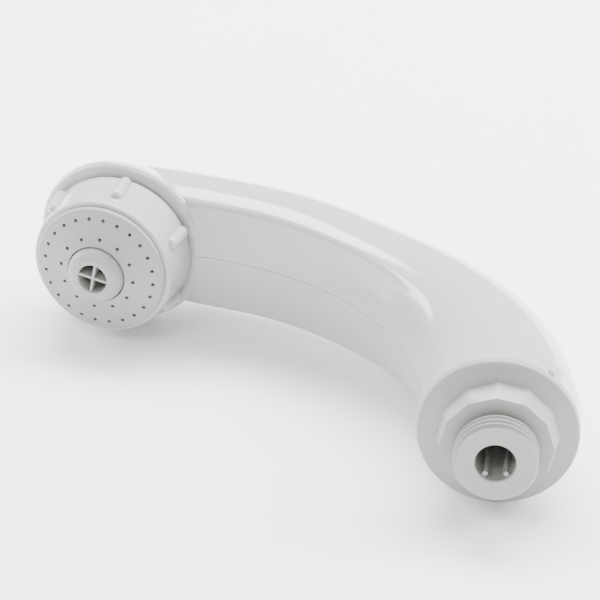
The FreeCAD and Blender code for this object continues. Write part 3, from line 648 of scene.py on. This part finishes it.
class HANDSET_OT_grip_shells(bpy.types.Operator):
    """Builds the two half shells of the grip"""
    bl_idname = "handset.grip_shells"
    bl_label = "Grip shells"

    def execute(self, context):
        sizes = context.scene.handset_sizes
        for name, side, node in (("grip_upper_shell", 1.0, "handle_upper_half"),
                                 ("grip_lower_shell", -1.0, "handle_lower_half")):
            piece = surface(name, grip_half(side, sizes), side < 0)
            thicken(piece, SKIN)
            crisp(piece, 40.0)
            place(piece, "handset", finish_for("white_gloss"))
            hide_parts(node)
        return {"FINISHED"}


def seat_profile():
    """Half section of the round seat: open mouth, flat front, round edge, cone and ball."""
    ball_r = GRIP_R - GRIP_THIN
    corner_h = BOSS_FRONT - BOSS_EDGE
    reach = math.hypot(BOSS_R, corner_h + GRIP_DEPTH)
    touch = math.atan2(-(corner_h + GRIP_DEPTH), BOSS_R) + math.acos(ball_r / reach)
    edge = arc_points((BOSS_R - BOSS_EDGE, corner_h), BOSS_EDGE, 90.0, 0.0, 13)
    ball = arc_points((0.0, -GRIP_DEPTH), ball_r, -math.degrees(touch), -90.0, 60)
    mouth = np.array([[BOSS_OPEN_R, BOSS_FRONT - BOSS_LIP], [BOSS_OPEN_R, BOSS_FRONT - MOUTH_EDGE],
                      [BOSS_OPEN_R + MOUTH_EDGE, BOSS_FRONT]])
    cone = dense([edge[-1], ball[0]], 0.8)[1:-1]
    flat = dense([mouth[-1], edge[0]], 0.8)[1:-1]
    return np.concatenate([mouth, flat, edge, cone, ball])


class HANDSET_OT_round_seat(bpy.types.Operator):
    """Builds the round seat behind the collar"""
    bl_idname = "handset.round_seat"
    bl_label = "Round seat"

    def execute(self, context):
        sizes = context.scene.handset_sizes
        for name, side in (("seat_upper", 1.0), ("seat_lower", -1.0)):
            points = half_turned(seat_profile(), HEAD_AT, HEAD_ACROSS, SPRAY_WAY, side, sizes)
            piece = surface(name, points, side < 0)
            thicken(piece, SKIN)
            crisp(piece)
            place(piece, "handset", finish_for("white_gloss"))
        return {"FINISHED"}


class HANDSET_OT_mouth_ring(bpy.types.Operator):
    """Builds the ring round the hose connector, with the key notch in its lip"""
    bl_idname = "handset.mouth_ring"
    bl_label = "Mouth ring"

    def execute(self, context):
        sizes = context.scene.handset_sizes
        profile = np.concatenate([
            dense([(RING_OPEN_R, RING_FRONT), (RING_R - RING_EDGE - 0.05, RING_FRONT)], 0.5),
            arc_points((RING_R - RING_EDGE, RING_FRONT - RING_EDGE), RING_EDGE, 90.0, 0.0, 6),
            dense([(RING_R, RING_FRONT - 0.3), (RING_R, -RING_L + 0.3)], 0.6),
            [(RING_R - 0.09, -RING_L + 0.09), (RING_R - 0.3, -RING_L),
             (NECK_R - 0.15, -RING_L - 0.3), (NECK_R - 0.5, -RING_L - 1.0)],
        ])

        def notch(radius, height, turn):
            """Depth of the key notch: full over its width of the lip, nothing elsewhere."""
            wide = 1 - smooth_step((np.abs(turn - NOTCH_TURN) - NOTCH_HALF) / NOTCH_FADE)
            deep = smooth_step((height - RING_FRONT + 1.8) / 0.4) * smooth_step((radius - RING_R + 1.2) / 0.3)
            return NOTCH_DEPTH * wide * deep

        for name, side in (("mouth_ring_upper", 1.0), ("mouth_ring_lower", -1.0)):
            dip = notch if side > 0 else None
            points = half_turned(profile, END_AT, END_ACROSS, END_WAY, side, sizes, 361, dip)
            piece = surface(name, points, side < 0)
            thicken(piece, 0.7)
            crisp(piece)
            place(piece, "handset", finish_for("white_gloss"))
        return {"FINISHED"}


class HANDSET_OT_buttons(bpy.types.Operator):
    """Builds the flush plug above and the three screw caps below"""
    bl_idname = "handset.buttons"
    bl_label = "Plug and caps"

    def execute(self, context):
        sizes = context.scene.handset_sizes
        spots = [("plug_button", "flush_plug", 1.0, sizes.plug_lift)]
        spots += [(name + "_button", name + "_screw_cap", -1.0, 0.03) for name in ("end", "mid", "neck")]
        for name, node, side, lift in spots:
            low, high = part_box(node)
            middle = (np.array(low) + np.array(high)) / 2 / MM
            radius = (high[0] - low[0]) / 2 / MM
            points = button(middle, radius, side, 0.03, lift - 0.03 if side > 0 else 0.01)
            piece = surface(name, points, side < 0)
            thicken(piece, 0.4)
            crisp(piece, 50.0)
            place(piece, "handset", finish_for("white_gloss"))
            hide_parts(node)
        return {"FINISHED"}


class HANDSET_OT_springs(bpy.types.Operator):
    """Builds the springs behind the inlet cup and the detent pin"""
    bl_idname = "handset.springs"
    bl_label = "Springs"

    def execute(self, context):
        for name, node, joint, pushed, ring_r, wire_r, length in (
                ("cup_spring_coil", "seal_spring", "cup_press", "seal_cup", 1.15, 0.25, 5.0),
                ("pin_spring_coil", "detent_spring", "detent_press", "detent_pin", 0.85, 0.22, 3.8)):
            low, high = (np.array(corner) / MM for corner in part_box(pushed))
            middle = (low + high) / 2
            above = np.dot(middle - HEAD_AT, SPRAY_WAY)
            foot = middle + (POCKET_FLOOR - above) * SPRAY_WAY
            piece = surface(name, spring_coil(foot, SPRAY_WAY, ring_r, wire_r, length, 4.0))
            place(piece, "handset", finish_for("spring_steel"))
            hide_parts(node)
            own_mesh(piece)
        return {"FINISHED"}


class HANDSET_OT_mould_line(bpy.types.Operator):
    """Builds the fine raised mould line on the connector's flange"""
    bl_idname = "handset.mould_line"
    bl_label = "Mould line"

    def execute(self, context):
        piece = surface("flange_mould_line", self.bead(), True)
        thicken(piece, LINE_WALL)
        place(piece, "handset", finish_for("connector_grey"))
        return {"FINISHED"}

    def bead(self):
        """Half-round bead up the cone: across by the half width times cos(t), out by the rise times sin(t).

        Both fade as a square root at the ends, and the foot follows the cone.
        """
        along = np.linspace(LINE_START, FLANGE_EDGE, 40)[:, None]
        turn = np.linspace(0.0, math.pi, 13)[None, :]
        from_end = np.minimum(along - LINE_START, FLANGE_EDGE - along)
        fade = np.sqrt(np.clip(from_end / LINE_FADE, 0.0, 1.0))
        height = FLANGE_RISE * (FLANGE_EDGE - along) / (FLANGE_EDGE - FLANGE_ROOT)
        across = LINE_HALF * fade * np.cos(turn)
        rise = LINE_RISE * fade * np.sin(turn) + np.minimum(height, FLANGE_RISE)
        return (END_AT + rise[..., None] * END_WAY + across[..., None] * END_ACROSS
                + (along + 0 * turn)[..., None] * UPWARD)


AIM_LEFT = 47.87          # the camera's aim, from the flange's middle
AIM_UP = 32.10
SENSOR = 36.0
IMAGE_SIDE = 600.0        # image points along one side of the render


class HANDSET_OT_stage(bpy.types.Operator):
    """Builds the pale floor, the soft lamps and the camera"""
    bl_idname = "handset.stage"
    bl_label = "Studio"

    def execute(self, context):
        studio = context.scene.handset_studio
        self.floor()
        self.lamps(studio)
        self.camera(context, studio)
        return {"FINISHED"}

    def floor(self):
        """Flat square of paper under the handset."""
        across = np.linspace(-4000.0, 4000.0, 3)
        x, y = np.meshgrid(across, across, indexing="ij")
        piece = surface("studio_floor", np.stack([x, y, 0 * x - 0.02], -1))
        piece.data.materials.append(studio_paper())

    def lamps(self, studio):
        world = bpy.data.worlds.new("studio_air")
        world.use_nodes = True
        sky = world.node_tree.nodes["Background"]
        sky.inputs["Color"].default_value = (0.96, 0.975, 1.0, 1.0)
        sky.inputs["Strength"].default_value = 1.0 * studio.light
        bpy.context.scene.world = world
        for name, at, size, power in (
                ("overhead", (0.1, 0.5, 1.0), (1.3, 0.5), 38.0),
                ("left_panel", (-1.0, 0.5, 0.35), (0.35, 0.9), 12.0),
                ("right_panel", (1.0, 0.25, 0.45), (0.3, 0.9), 20.0),
                ("front_fill", (-0.6, -1.3, 1.75), (0.8, 0.5), 12.0)):
            lamp = bpy.data.lights.new(name, "AREA")
            lamp.shape = "RECTANGLE"
            lamp.size, lamp.size_y = size
            lamp.energy = power * studio.light
            holder = bpy.data.objects.new(name, lamp)
            bpy.context.scene.collection.objects.link(holder)
            aim(holder, np.array(at), np.array([0.0, 0.0, 0.02]))

    def camera(self, context, studio):
        """Long lens whose distance gives the wanted scale, aimed at a point on the hook's inside."""
        az, el = studio.azimuth, studio.elevation
        right = np.array([math.cos(az), math.sin(az), 0.0])
        look = np.array([-math.sin(az) * math.cos(el), math.cos(az) * math.cos(el), -math.sin(el)])
        up = np.cross(right, look)
        target = END_AT - AIM_LEFT * right + AIM_UP * up
        lens = bpy.data.cameras.new("studio_camera")
        lens.lens = studio.lens
        lens.sensor_width = SENSOR
        lens.clip_end = 100.0
        distance = studio.lens / SENSOR * IMAGE_SIDE / studio.scale
        eye = bpy.data.objects.new("studio_camera", lens)
        context.scene.collection.objects.link(eye)
        aim(eye, (target - distance * look) * MM, target * MM)
        context.scene.camera = eye


def aim(holder, at, target):
    """Puts a lamp or camera somewhere and turns it to face a point, upright."""
    back = (at - target) / np.linalg.norm(at - target)
    right = np.cross(UPWARD, back)
    right = right / np.linalg.norm(right)
    up = np.cross(back, right)
    rows = np.eye(4)
    rows[:3, 0], rows[:3, 1], rows[:3, 2], rows[:3, 3] = right, up, back, at
    holder.matrix_world = Matrix(rows.tolist())


STEPS = (HANDSET_OT_node_finishes, HANDSET_OT_grip_shells, HANDSET_OT_round_seat, HANDSET_OT_mouth_ring,
         HANDSET_OT_buttons, HANDSET_OT_springs, HANDSET_OT_mould_line, HANDSET_OT_stage)


class HANDSET_PT_builder(bpy.types.Panel):
    """Lists the handset's pieces and its settings"""
    bl_idname = "HANDSET_PT_builder"
    bl_label = "Shower handset"
    bl_space_type = "VIEW_3D"
    bl_region_type = "UI"
    bl_category = "Handset"

    def draw(self, context):
        column = self.layout.column()
        for step in STEPS:
            column.operator(step.bl_idname)
        for setting_name, _ in GROUPS:
            group = getattr(context.scene, setting_name)
            column.separator()
            for setting in group.__annotations__:
                column.prop(group, setting)


GROUPS = (
    ("handset_sizes", HandsetSizes),
    ("handset_colours", HandsetColours),
    ("handset_studio", HandsetStudio),
)


def register():
    for setting, group in GROUPS:
        bpy.utils.register_class(group)
        setattr(bpy.types.Scene, setting, bpy.props.PointerProperty(type=group))
    for step in STEPS:
        bpy.utils.register_class(step)
    bpy.utils.register_class(HANDSET_PT_builder)


def unregister():
    bpy.utils.unregister_class(HANDSET_PT_builder)
    for step in reversed(STEPS):
        bpy.utils.unregister_class(step)
    for setting, group in reversed(GROUPS):
        delattr(bpy.types.Scene, setting)
        bpy.utils.unregister_class(group)


def main():
    register()
    for step in STEPS:
        group, name = step.bl_idname.split(".")
        getattr(getattr(bpy.ops, group), name)()


if __name__ == "__main__":
    main()
